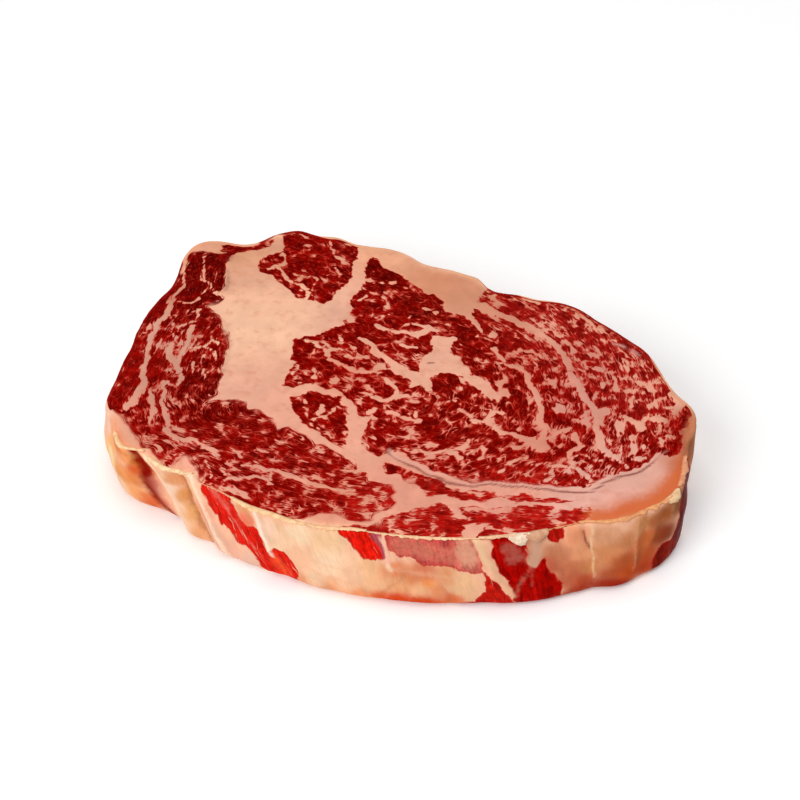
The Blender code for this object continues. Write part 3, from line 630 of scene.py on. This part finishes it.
# Ridges, furrows and skins, with painted shade and painted highlights: colour, strength, width, soft edge, rise,
# then the path.
WALL_MARKS = (
    ("#8A1206", 1.0, 1.7, 0.9, -0.7, ((201.6, 27), (202.3, 24.1), (203.1, 20.5), (203.7, 17.1),
                                       (204.3, 13.6), (204.9, 8.5), (206.4, 4), (208, 1))),
    ("#D8806C", 0.6, 1.4, 1.2, 0.0, ((204.6, 16), (205.6, 10.2), (206.9, 4.8), (208.6, 1))),
    # Painted shadow: an orange-brown stroke under the first lip.
    ("#C07A40", 0.5, 1.2, 1.4, -0.3, ((196.5, 24.6), (199, 24), (201.2, 24.8))),
    # The first ridge: cream fat, its crest painted paler as a highlight.
    ("#FBE2BE", 0.7, 1.2, 1.4, 0.5, ((204.3, 27.6), (205.3, 23), (206.3, 18.5), (207.6, 13),
                                     (209, 7), (210.4, 2))),
    # The second furrow: a real hollow, with its tan-brown colour painted in as shade.
    ("#A86234", 0.75, 0.7, 1.1, -0.8, ((210.6, 27), (211.4, 24.5), (212.4, 20.8), (214.3, 15),
                                       (216.3, 10), (218.6, 4.6), (220.4, 1.5))),
    ("#FBE6C8", 0.7, 1.3, 1.2, 0.5, ((214, 27.6), (215.4, 26), (216.9, 23), (218.5, 19),
                                     (220.9, 13.6), (222.8, 9.6), (224.6, 5.5), (226.4, 1.5))),
    ("#E0A090", 0.5, 0.7, 0.9, 0.0, ((214.2, 20), (216.4, 14.6), (218.6, 9.6), (221, 4.6))),
    ("#E87868", 0.6, 1.6, 1.6, 0.0, ((220.6, 27), (222.6, 25), (224.6, 22.6))),
    ("#F4B8A4", 0.3, 0.5, 0.7, 0.0, ((224.6, 22), (227.6, 17.6), (230.6, 13.6), (233.6, 10))),
    ("#FA5C38", 0.55, 3.2, 2.6, 0.0, ((238.4, 8), (241.4, 3.6))),
    ("#F8602C", 0.6, 0.6, 0.8, 0.0, ((238.6, 9), (240.6, 5), (241.6, 1.6))),
    ("#FBE9D4", 0.8, 0.8, 0.7, 0.6, ((232.7, 26.6), (233.9, 22.3), (235.4, 17.3), (236.9, 13), (237.8, 10.1))),
    ("#D58E66", 0.65, 1.2, 1.2, -0.4, ((229.8, 25), (231, 23.6), (231.7, 21.6))),
    ("#D9AE7A", 0.6, 1.2, 1.3, -0.4, ((237.8, 25.6), (238.8, 24), (239, 21.4))),
    ("#F1BD95", 0.4, 0.5, 0.8, -0.15, ((243, 24), (249, 22.4), (256, 19.6))),
    ("#E9B184", 0.4, 0.5, 0.8, -0.2, ((244, 17), (250, 13.4), (258, 12))),
    ("#E6A67C", 0.4, 0.5, 0.8, -0.2, ((246, 10), (252, 8), (259, 7.4))),
    ("#DE8A6E", 0.55, 5.0, 2.6, 0.0, ((270.4, 25), (276, 23.6), (281, 22.4), (286, 21.6))),
    ("#E6B08E", 0.6, 4.6, 3.0, 0.0, ((285.6, 26), (286.6, 20.6))),
    ("#EBB9A6", 0.75, 0.9, 0.7, 0.35, ((265.7, 26.7), (266.8, 24.1), (267.4, 20.6), (267.8, 17))),
    ("#F6D8B4", 0.7, 1.4, 0.8, 0.3, ((267.8, 16.4), (268.4, 15.2))),
    ("#C98058", 0.6, 0.5, 0.7, -0.3, ((266, 3.6), (268.1, 7.9), (270.5, 11.2), (272.5, 14.3))),
    ("#E8AE8C", 0.5, 1.0, 1.0, 0.2, ((269, 15.6), (276, 14.4), (284, 13.2))),
    ("#D84A14", 0.85, 2.6, 2.8, 0.0, ((266.6, 0.6), (270, 2.4), (275, 2.8), (279.5, 1))),
    ("#EBC096", 0.9, 1.9, 0.9, 0.3, ((288.2, 28.4), (289.2, 24), (290, 20.5), (291.4, 17))),
    ("#E4AE88", 0.85, 0.9, 0.9, 0.2, ((291.2, 17.6), (293, 12), (294.7, 8.7), (295.6, 5))),
    ("#B46456", 0.65, 2.6, 1.8, 0.0, ((294.4, 24), (296.2, 23.6), (297, 20.6), (295.4, 20))),
    ("#CFA084", 0.9, 2.8, 1.4, 0.3, ((300.8, 26.4), (300.6, 22), (299.6, 18.4))),
    ("#C87862", 0.5, 0.4, 0.7, 0.1, ((299.2, 16), (297.5, 13), (296.4, 9.3), (296.2, 4.8))),
    ("#C06A58", 0.35, 0.4, 0.7, 0.1, ((299.4, 16.4), (299, 12), (298.8, 9))),
    ("#9C5A4A", 0.5, 0.9, 1.2, 0.0, ((305, 13.2), (305.6, 11.6))),
    ("#A4280F", 0.85, 3.4, 3.2, 0.0, ((304.8, 0), (308, 1.6), (312, 3), (315, 2.2), (317, 0))),
    # Painted shadow: a dark red-brown line along the left of the pale streak that follows.
    ("#7A2412", 0.9, 0.5, 0.5, -0.5, ((310.8, 25), (311.1, 21.2), (311.9, 17.8))),
    ("#F2CDA0", 0.7, 0.3, 0.4, 0.5, ((312.1, 27), (311.9, 20), (311.7, 13.1), (311.6, 7))),
    ("#E6BA8E", 0.4, 0.3, 0.5, 0.4, ((319.8, 27.6), (318.9, 21.9), (318.5, 15.1), (318.2, 8))),
    ("#9A5E30", 0.4, 0.8, 1.2, -0.3, ((321.2, 26), (320.6, 20), (320, 12))),
    ("#86481E", 0.4, 1.2, 1.6, -0.4, ((325, 26), (324.2, 20), (323, 14))),
    ("#C89870", 0.4, 1.0, 1.0, 0.3, ((327, 26), (326.4, 21))),
    ("#F4CBA6", 0.6, 1.2, 1.0, 0.5, ((24, 27), (28, 14), (27, 4))),
    ("#A85C3C", 0.6, 0.9, 0.9, -0.6, ((38, 27), (41, 14), (42, 4))),
    ("#F6D2AC", 0.6, 1.6, 1.2, 0.5, ((70, 27), (72, 15), (78, 4))),
    ("#AC6444", 0.6, 0.9, 0.9, -0.6, ((64, 27), (66, 14), (70, 5))),
    ("#F4CBA6", 0.6, 1.4, 1.0, 0.5, ((104, 27), (103, 18), (99, 12))),
    ("#F6D2AC", 0.6, 1.4, 1.0, 0.5, ((134, 27), (131, 15), (136, 3))),
    ("#A05A3C", 0.6, 0.8, 0.9, -0.6, ((129, 27), (127, 14), (122, 3))),
    ("#F2C69C", 0.6, 1.4, 1.0, 0.4, ((166, 4), (160, 5), (150, 3))),
)

degrees = np.degrees(bearing) % 360.0
wall = np.stack([degrees * DEGREE_ARC, height / MM], axis=1)
wall_rough = wandered(wandered(wall, 5.0, 1.1, 40.3), 1.8, 0.5, 33.3)
wall_lean = np.full(len(place), -6.0)
wall_richness = np.full(len(place), 0.2)
wall_lean_and_shade_colour = np.tile(linear("#B01810"), (len(place), 1))
for code, streaks, outline in WALL_LEANS:
    unrolled = tuple((b * DEGREE_ARC, z) for b, z in outline)
    depth = depth_inside(wall_rough, unrolled)
    nearer = depth > np.maximum(wall_lean, -1.5)
    wall_lean_and_shade_colour[nearer] = linear(code)
    wall_richness[nearer] = streaks
    wall_lean = np.maximum(wall_lean, depth)
wall_fat_and_shade_spots = [(b * DEGREE_ARC, z, size * 1.1, code) for b, z, size, code in WALL_FAT_AND_SHADE]
wall_fat_and_shade_colour = colour_over(wandered(wall, 4.0, 1.6, 12.9), wall_fat_and_shade_spots, CREAM_FAT)
wall_strokes = [
    (code, strength, width, soft, tuple((b * DEGREE_ARC, z) for b, z in path))
    for code, strength, width, soft, _, path in WALL_MARKS
]
# The wall marks are laid on as colour, and their painted shade and highlights go with them.
wall_marks_and_painted_light_colour, wall_marks_and_painted_light = painted(wandered(wall, 5.0, 0.7, 40.3), wall_strokes)
wall_rise = np.zeros(len(place))
for code, strength, width, soft, rise, path in WALL_MARKS:
    unrolled = tuple((b * DEGREE_ARC, z) for b, z in path)
    gap = gap_to_vein(wall, (width,), unrolled)
    wall_rise += rise * (1.0 - eased(gap, -0.5 * width, 1.6))

lean = np.where(on_wall, wall_lean, lean)
marks_and_painted_light = np.where(on_wall, wall_marks_and_painted_light, marks_and_painted_light)
marks_and_painted_light_colour = np.where(on_wall[:, None], wall_marks_and_painted_light_colour, marks_and_painted_light_colour)
fat_and_shade_colour = np.where(on_wall[:, None], wall_fat_and_shade_colour, fat_and_shade_colour)
lean_and_shade_colour = np.where(on_wall[:, None], wall_lean_and_shade_colour, lean_and_shade_colour)
slant = np.interp(degrees, (180.0, 250.0, 290.0, 360.0), (0.75, 0.6, 0.25, 0.0))
wall_grain = wall[:, 0] - slant * (28.0 - wall[:, 1])
grain = np.where(on_wall, wall_grain, grain)
richness = np.where(on_wall, wall_richness, richness)

# The rim of the upper face takes the colour of the outer fat, with the painted shade of the wall's right end.
rim_wall = np.stack([degrees * DEGREE_ARC, np.full(len(place), 26.5)], axis=1)
rim_colour = colour_over(rim_wall, wall_fat_and_shade_spots, CREAM_FAT)
rim_share = np.where(on_face, 0.85 * np.exp(-((rim_gap / 1.5) ** 2)), 0.0)[:, None]
fat_and_shade_colour = fat_and_shade_colour * (1.0 - rim_share) + rim_colour * rim_share

lumps = np.array([noise.noise(Vector((u / 7.0, z / 9.0, 3.3))) for u, z in wall])
crimps = np.array([noise.noise(Vector((u / 2.2, z / 7.0, 9.1))) for u, z in wall])
bulge = wall_rise + 0.45 * lumps + 0.22 * crimps - 0.15 * eased(wall_lean, -0.5, 0.8)
fade = eased(height / MM, 0.0, 3.0) * eased(28.0 - height / MM, -0.6, 2.0)
swell = np.where(on_wall, bulge * fade, 0.0) * MM
place[:, 0] += np.cos(bearing) * swell
place[:, 1] += np.sin(bearing) * swell


def face_wave(x, y):
    """How far the cut face waves up and down, in millimetres."""
    return 0.18 * np.sin(x / 19.0 + 0.7) + 0.15 * np.cos(y / 15.0 - 0.4)


# Lean sinks a little between the fat, and the faces wave slightly.
wave = face_wave(place[:, 0] / MM, place[:, 1] / MM)
edge_round = 0.45 * np.exp(-rim_gap / 0.9)
relief = wave - 0.22 * eased(lean, -0.5, 0.7) - edge_round
place[on_face, 2] += relief[on_face] * MM
sag = lip * np.where(on_face, np.exp(-((rim_gap / 3.5) ** 2)), (height / FACE_HEIGHT) ** 3)
place[:, 2] -= np.where(on_foot, 0.0, sag)
place[on_foot, 2] = 0.0

for vert, spot in zip(steak_bm.verts, place):
    vert.co = spot
steak_data = bpy.data.meshes.new("steak_body")
steak_bm.to_mesh(steak_data)
steak_bm.free()


def add_values(data, name, values):
    """Stores one number or one colour for each vertex."""
    if values.ndim == 1:
        layer = data.attributes.new(name, "FLOAT", "POINT")
        layer.data.foreach_set("value", values.astype(np.float32))
    else:
        layer = data.attributes.new(name, "FLOAT_COLOR", "POINT")
        full = np.ones((len(values), 4), np.float32)
        full[:, :3] = values
        layer.data.foreach_set("color", full.ravel())


add_values(steak_data, "lean", lean)
add_values(steak_data, "grain", grain)
add_values(steak_data, "richness", richness)
add_values(steak_data, "wall", on_wall.astype(float))
add_values(steak_data, "marks_and_painted_light", marks_and_painted_light)
add_values(steak_data, "marks_and_painted_light_colour", marks_and_painted_light_colour)
add_values(steak_data, "fat_and_shade_colour", fat_and_shade_colour)
add_values(steak_data, "lean_and_shade_colour", lean_and_shade_colour)
steak_data.shade_smooth()
steak_body = bpy.data.objects.new("steak_body", steak_data)
scene.collection.objects.link(steak_body)
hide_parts("steak")
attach(steak_body, "root")


def add_node(tree, kind, settings=None, inputs=None):
    """Adds a node, sets its settings, and sets or links its inputs."""
    node = tree.nodes.new(kind)
    for name, value in (settings or {}).items():
        setattr(node, name, value)
    for name, value in (inputs or {}).items():
        socket = node.inputs[name]
        if isinstance(value, bpy.types.NodeSocket):
            tree.links.new(value, socket)
        else:
            socket.default_value = value
    return node


BLUSH = "#BE3226"
ROSY_FAT = "#CE8468"


def marbled_beef():
    """Marbled raw beef: moist dark lean, netted with seams of soft, matt fat."""
    material = bpy.data.materials.new("marbled_raw_beef")
    material.use_nodes = True
    tree = material.node_tree
    shader = tree.nodes["Principled BSDF"]

    def maths(operation, *values):
        inputs = dict(enumerate(values))
        return add_node(tree, "ShaderNodeMath", {"operation": operation}, inputs).outputs[0]

    def stored(name, output="Fac"):
        settings = {"attribute_name": name}
        return add_node(tree, "ShaderNodeAttribute", settings).outputs[output]

    def scaled(vector, size):
        inputs = {0: vector, "Scale": 1.0 / (size * MM)}
        return add_node(tree, "ShaderNodeVectorMath", {"operation": "SCALE"}, inputs).outputs[0]

    def ramp(value, low, high, start=0.0, end=1.0):
        inputs = {
            "Value": value, "From Min": low, "From Max": high, "To Min": start, "To Max": end,
        }
        settings = {"interpolation_type": "SMOOTHSTEP"}
        return add_node(tree, "ShaderNodeMapRange", settings, inputs).outputs[0]

    def mixed(share, first, second):
        inputs = {"Factor": share, "A": first, "B": second}
        return add_node(tree, "ShaderNodeMix", {"data_type": "RGBA"}, inputs).outputs["Result"]

    def tinted(colour, tone):
        settings = {"operation": "SCALE"}
        inputs = {0: colour, "Scale": tone}
        return add_node(tree, "ShaderNodeVectorMath", settings, inputs).outputs[0]

    spot = add_node(tree, "ShaderNodeTexCoord").outputs["Object"]

    def noise_field(vector, size, detail, output="Fac"):
        inputs = {"Vector": scaled(vector, size), "Scale": 1.0, "Detail": detail, "Roughness": 0.55}
        return add_node(tree, "ShaderNodeTexNoise", None, inputs).outputs[output]

    pushed = add_node(
        tree, "ShaderNodeVectorMath", {"operation": "MULTIPLY_ADD"},
        {0: noise_field(spot, 4.5, 2.5, "Color"), 1: (5.0 * MM, 5.0 * MM, 5.0 * MM), 2: spot},
    ).outputs[0]
    crooked = maths("MULTIPLY_ADD", noise_field(spot, 6.0, 2.0), 5.0, stored("grain"))

    def grained_noise(along, across, detail):
        """Noise drawn out along the grain; the lengths are in millimetres."""
        inputs = {
            "Vector": scaled(spot, along), "W": maths("DIVIDE", crooked, across),
            "Scale": 1.0, "Detail": detail, "Roughness": 0.6,
        }
        settings = {"noise_dimensions": "4D"}
        return add_node(tree, "ShaderNodeTexNoise", settings, inputs).outputs["Fac"]

    sides = add_node(tree, "ShaderNodeSeparateXYZ", None, {0: pushed}).outputs

    def cells(along, across, feature):
        """Distance in a pattern of long cells that lie with the grain."""
        inputs = {
            "X": maths("DIVIDE", sides["X"], along * MM),
            "Y": maths("DIVIDE", sides["Y"], along * MM),
            "Z": maths("DIVIDE", crooked, across),
        }
        place_in = add_node(tree, "ShaderNodeCombineXYZ", None, inputs).outputs[0]
        settings = {"voronoi_dimensions": "3D", "feature": feature}
        inputs = {"Vector": place_in, "Scale": 1.0, "Randomness": 1.0}
        return add_node(tree, "ShaderNodeTexVoronoi", settings, inputs).outputs["Distance"]

    lean_in = stored("lean")
    wall_in = stored("wall")
    face_in = maths("SUBTRACT", 1.0, wall_in)
    drift = maths("SUBTRACT", noise_field(spot, 9.0, 1.0), 0.5)
    breaks = maths("SUBTRACT", noise_field(spot, 3.0, 1.0), 0.5)
    rich_in = maths("MULTIPLY_ADD", drift, 1.2, stored("richness"))
    plenty = maths("MULTIPLY_ADD", breaks, 2.0, rich_in)

    def wavy_veins(along, across, least, most):
        """Winding veins along the grain, wider where the lean is rich; roughly in millimetres."""
        ridge = maths("ABSOLUTE", maths("SUBTRACT", grained_noise(along, across, 1.0), 0.5))
        half = maths("MULTIPLY_ADD", plenty, most - least, least)
        return maths("MULTIPLY", maths("SUBTRACT", half, ridge), 3.0 * across)

    net = maths("SUBTRACT", maths("MULTIPLY_ADD", plenty, 0.120, -0.058),
                cells(11.0, 4.4, "DISTANCE_TO_EDGE"))
    pools = maths("ADD", cells(6.2, 2.7, "F1"), maths("MULTIPLY_ADD", plenty, 0.38, -0.985))
    lines = maths("MAXIMUM", maths("MULTIPLY", net, 4.0), wavy_veins(8.0, 3.6, -0.040, 0.038))
    lines = maths("MAXIMUM", lines, wavy_veins(5.0, 2.3, -0.070, 0.046))
    lines = maths("MAXIMUM", lines, maths("MULTIPLY", pools, 2.6))
    line_share = maths("MULTIPLY", ramp(lines, -0.32, 0.28, 0.0, 0.88), face_in)

    fibres = grained_noise(8.0, 0.9, 3.0)
    streaks = maths("MULTIPLY_ADD", stored("richness"), 0.30, maths("SUBTRACT", fibres, 0.72))
    streak_share = maths("MULTIPLY", ramp(streaks, -0.10, 0.16, 0.0, 0.85), wall_in)

    ragged = maths("SUBTRACT", grained_noise(3.0, 1.8, 1.5), 0.48)
    ragged = maths("MULTIPLY", ragged, maths("MULTIPLY_ADD", wall_in, -1.0, 3.0))
    border = maths("MULTIPLY", maths("ADD", lean_in, ragged), -1.0)
    edge_low = maths("MULTIPLY_ADD", wall_in, -0.20, -0.42)
    edge_high = maths("MULTIPLY_ADD", wall_in, 0.20, 0.34)
    border_share = ramp(border, edge_low, edge_high)
    fat_share = maths("MAXIMUM", maths("MAXIMUM", line_share, streak_share), border_share)

    near_fat = ramp(maths("MAXIMUM", border, lines), -0.9, -0.1, 0.90, 1.40)
    strands = maths("MULTIPLY_ADD", grained_noise(1.8, 0.8, 1.0), 0.5, 0.65)
    blotches = maths("MULTIPLY_ADD", noise_field(spot, 4.0, 2.0), 1.8, 0.0)
    tone = maths("MULTIPLY", maths("MULTIPLY", near_fat, strands), blotches)
    clouds = noise_field(spot, 2.6, 2.0)
    wall_tone = maths("MULTIPLY", maths("MULTIPLY_ADD", fibres, 2.6, -0.3), maths("MULTIPLY_ADD", clouds, 1.2, 0.4))
    tone = maths("ADD", maths("MULTIPLY", tone, face_in), maths("MULTIPLY", wall_tone, wall_in))
    lean_shade = tinted(stored("lean_and_shade_colour", "Color"), tone)

    mottle = maths("MULTIPLY_ADD", noise_field(spot, 7.0, 4.0), 0.44, 0.78)
    threads = maths("MULTIPLY", maths("SUBTRACT", fibres, 0.5), maths("MULTIPLY_ADD", wall_in, 0.29, 0.07))
    mottle = maths("MULTIPLY", mottle, maths("ADD", threads, 1.0))
    fat_shade = tinted(stored("fat_and_shade_colour", "Color"), mottle)
    rosy = maths("MULTIPLY", ramp(noise_field(spot, 3.2, 2.0), 0.48, 0.78, 0.0, 0.42), face_in)
    fat_shade = mixed(rosy, fat_shade, (*linear(ROSY_FAT), 1.0))
    haze = maths("MULTIPLY", ramp(grained_noise(1.3, 0.8, 1.0), 0.50, 0.70, 0.0, 0.24), face_in)
    share = maths("MAXIMUM", fat_share, haze)
    blush = mixed(ramp(share, 0.0, 0.55), lean_shade, (*linear(BLUSH), 1.0))
    beef = mixed(ramp(share, 0.35, 1.0), blush, fat_shade)

    # Laid over the beef: skins and stains, with the painted sheen of the face and the painted shade and highlights
    # of the wall.
    patchy = ramp(noise_field(spot, 1.4, 2.0), 0.32, 0.62, stored("marks_and_painted_light"), 1.0)
    bare = maths("SUBTRACT", 1.0, maths("MULTIPLY", stored("marks_and_painted_light"), patchy))
    surface = add_node(
        tree, "ShaderNodeVectorMath", {"operation": "ADD"},
        {0: tinted(beef, bare), 1: tinted(stored("marks_and_painted_light_colour", "Color"), patchy)},
    ).outputs[0]
    tree.links.new(surface, shader.inputs["Base Color"])

    relief_in = maths("MULTIPLY_ADD", fat_share, 0.6, maths("MULTIPLY", strands, 0.35))
    bump = add_node(
        tree, "ShaderNodeBump", None,
        {"Height": relief_in, "Strength": 0.25, "Distance": 0.35 * MM},
    )
    tree.links.new(bump.outputs["Normal"], shader.inputs["Normal"])
    tree.links.new(maths("MULTIPLY_ADD", fat_share, 0.12, 0.36), shader.inputs["Roughness"])
    shader.inputs["IOR"].default_value = 1.38
    shader.inputs["Specular IOR Level"].default_value = 0.01
    return material


steak_data.materials.append(marbled_beef())

# --- Torn edges of fat ----------------------------------------------------------------------
# The knife left frills and small flaps of the outer fat along the rim of the upper face.
# They are the same soft fat, dried a little paler, and still joined to the slice.

# Bearings where a frill starts and ends, how far it stands out and hangs down, how ragged
# it is (0 smooth, 1 in flecks), its colour, and a seed.
TORN_EDGES = (
    (195.0, 203.2, 0.9, 0.5, 0.15, "#F4CB9C", 1.3),
    (204.6, 214.4, 1.1, 0.7, 0.15, "#F6D4A8", 2.7),
    (216.6, 226.5, 0.5, 0.3, 0.5, "#F0B48E", 3.3),
    (225.5, 246.0, 1.1, 0.9, 0.5, "#F5CE9E", 4.1),
    (246.0, 262.0, 0.8, 0.6, 0.6, "#F3C69A", 5.9),
    (261.5, 290.0, 0.9, 0.6, 0.5, "#F6CFA6", 7.3),
    (289.0, 297.0, 0.7, 0.4, 0.6, "#F2C6A0", 8.8),
    (295.2, 300.0, 2.0, 3.2, 0.2, "#F3DFC6", 9.4),
    (298.6, 304.0, 2.2, 2.4, 0.2, "#D9A886", 9.9),
    (302.0, 311.0, 0.6, 0.3, 0.8, "#E6A070", 10.6),
    (310.6, 321.0, 1.1, 0.6, 0.7, "#E9A670", 12.2),
    (319.5, 327.6, 1.2, 0.6, 0.8, "#E9A672", 13.7),
    (325.8, 329.8, 2.0, 1.7, 0.3, "#F0CCA0", 15.1),
    (330.5, 338.0, 0.9, 0.6, 0.8, "#E2A078", 16.4),
)
FRILL_STEP = 0.22
FRILL_THICKNESS = 0.45 * MM


def torn_edge(number, start, end, stand_out, hang, raggedness, seed):
    """A thin curled strip that grows out of the rim between two bearings."""
    steps = int((end - start) / FRILL_STEP)
    mesh = bmesh.new()
    bmesh.ops.create_grid(mesh, x_segments=steps, y_segments=4, size=1.0)
    for vert in mesh.verts:
        along = 0.5 + 0.5 * vert.co.x
        across = 0.5 + 0.5 * vert.co.y
        turn = math.radians(start + (end - start) * along)
        tear = noise.noise(Vector((along * (end - start) / 1.1, seed, 0.0)))
        tear += 0.5 * noise.noise(Vector((along * (end - start) / 0.45, seed, 4.0)))
        taper = math.sin(math.pi * min(1.0, max(0.0, along))) ** 0.6
        size = max(0.0, (1.0 - raggedness * 0.5) + raggedness * 1.3 * tear) * taper
        hung = hang_at(turn) / MM
        radius = radius_at(np.array([turn]), np.array([FACE_HEIGHT]))[0] / MM + 0.6 * hung
        out = -1.3 + 0.9 * min(1.0, across / 0.4) + size * stand_out * max(0.0, across - 0.3) / 0.7
        rise = -0.60 + 0.75 * min(1.0, across / 0.4) - size * hang * max(0.0, across - 0.4) / 0.6
        x = (radius + out) * math.cos(turn)
        y = (radius + out) * math.sin(turn)
        top = FACE_HEIGHT / MM + face_wave(x, y) + rise - hung - 0.25 * (1.0 - min(1.0, size))
        vert.co = Vector((x, y, top)) * MM
    bmesh.ops.recalc_face_normals(mesh, faces=mesh.faces)
    bmesh.ops.solidify(mesh, geom=mesh.faces[:], thickness=FRILL_THICKNESS)
    bmesh.ops.recalc_face_normals(mesh, faces=mesh.faces)
    data = bpy.data.meshes.new(f"torn_edge_{number}")
    mesh.to_mesh(data)
    mesh.free()
    data.shade_smooth()
    strip = bpy.data.objects.new(f"torn_edge_{number}", data)
    scene.collection.objects.link(strip)
    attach(strip, "root")
    return strip


def dried_fat(number, code):
    """Beef fat dried at a torn edge: paler, faintly waxy."""
    material = bpy.data.materials.new(f"dried_beef_fat_{number}")
    material.use_nodes = True
    tree = material.node_tree
    shader = tree.nodes["Principled BSDF"]
    spot = add_node(tree, "ShaderNodeTexCoord").outputs["Object"]
    # Blotches about 1.5 mm across.
    cloud = add_node(
        tree, "ShaderNodeTexNoise", None,
        {"Vector": spot, "Scale": 650.0, "Detail": 3.0, "Roughness": 0.55},
    ).outputs["Fac"]
    pale = linear(code)
    inputs = {
        "Factor": add_node(
            tree, "ShaderNodeMapRange", {"interpolation_type": "SMOOTHSTEP"},
            {"Value": cloud, "From Min": 0.35, "From Max": 0.65},
        ).outputs[0],
        "A": (*(pale * (0.88, 0.76, 0.70)), 1.0),
        "B": (*np.minimum(pale * 1.06, 1.0), 1.0),
    }
    colour = add_node(tree, "ShaderNodeMix", {"data_type": "RGBA"}, inputs).outputs["Result"]
    tree.links.new(colour, shader.inputs["Base Color"])
    shader.inputs["Roughness"].default_value = 0.45
    shader.inputs["IOR"].default_value = 1.44
    shader.inputs["Specular IOR Level"].default_value = 0.12
    return material


for number, (start, end, stand_out, hang, raggedness, code, seed) in enumerate(TORN_EDGES, 1):
    strip = torn_edge(number, start, end, stand_out, hang, raggedness, seed)
    strip.data.materials.append(dried_fat(number, code))

# --- Floor, light and camera ---------------------------------------------------------------
# A plain white sweep under soft studio light, seen from above at an angle.

FLOOR_SIZE = 4.0


def studio_floor():
    mesh = bmesh.new()
    bmesh.ops.create_grid(mesh, x_segments=2, y_segments=2, size=FLOOR_SIZE / 2.0)
    data = bpy.data.meshes.new("studio_floor")
    mesh.to_mesh(data)
    mesh.free()
    material = bpy.data.materials.new("matt_white_paper")
    material.use_nodes = True
    shader = material.node_tree.nodes["Principled BSDF"]
    shader.inputs["Base Color"].default_value = (*linear("#FAFAFA"), 1.0)
    shader.inputs["Roughness"].default_value = 0.9
    shader.inputs["Specular IOR Level"].default_value = 0.1
    shader.inputs["Emission Color"].default_value = (1.0, 1.0, 1.0, 1.0)
    shader.inputs["Emission Strength"].default_value = 0.10
    data.materials.append(material)
    floor = bpy.data.objects.new("studio_floor", data)
    scene.collection.objects.link(floor)


def soft_light(name, place_from, size, power):
    """A large square lamp that faces the slice."""
    lamp = bpy.data.lights.new(name, "AREA")
    lamp.shape = "SQUARE"
    lamp.size = size
    lamp.energy = power
    item = bpy.data.objects.new(name, lamp)
    item.location = place_from
    item.rotation_euler = (-Vector(place_from)).to_track_quat("-Z", "Y").to_euler()
    scene.collection.objects.link(item)


studio_floor()
soft_light("key_light", (-0.75, -0.85, 0.95), 0.8, 11.5)
soft_light("top_light", (0.15, 0.1, 1.3), 1.1, 10.0)

world = bpy.data.worlds.new("studio")
world.use_nodes = True
world.node_tree.nodes["Background"].inputs["Color"].default_value = (1.0, 1.0, 1.0, 1.0)
world.node_tree.nodes["Background"].inputs["Strength"].default_value = 0.26
scene.world = world
scene.view_settings.view_transform = "Standard"

VIEW_ANGLE = math.radians(45.0)
VIEW_DISTANCE = 0.640
AIM = Vector((0.6 * MM, 2.0 * MM, 14.0 * MM))

camera_data = bpy.data.cameras.new("camera")
camera_data.lens = 85.0
camera_data.sensor_width = 36.0
camera = bpy.data.objects.new("camera", camera_data)
camera.location = AIM + VIEW_DISTANCE * Vector((0.0, -math.cos(VIEW_ANGLE), math.sin(VIEW_ANGLE)))
camera.rotation_euler = Euler((math.pi / 2.0 - VIEW_ANGLE, 0.0, 0.0))
scene.collection.objects.link(camera)
scene.camera = camera
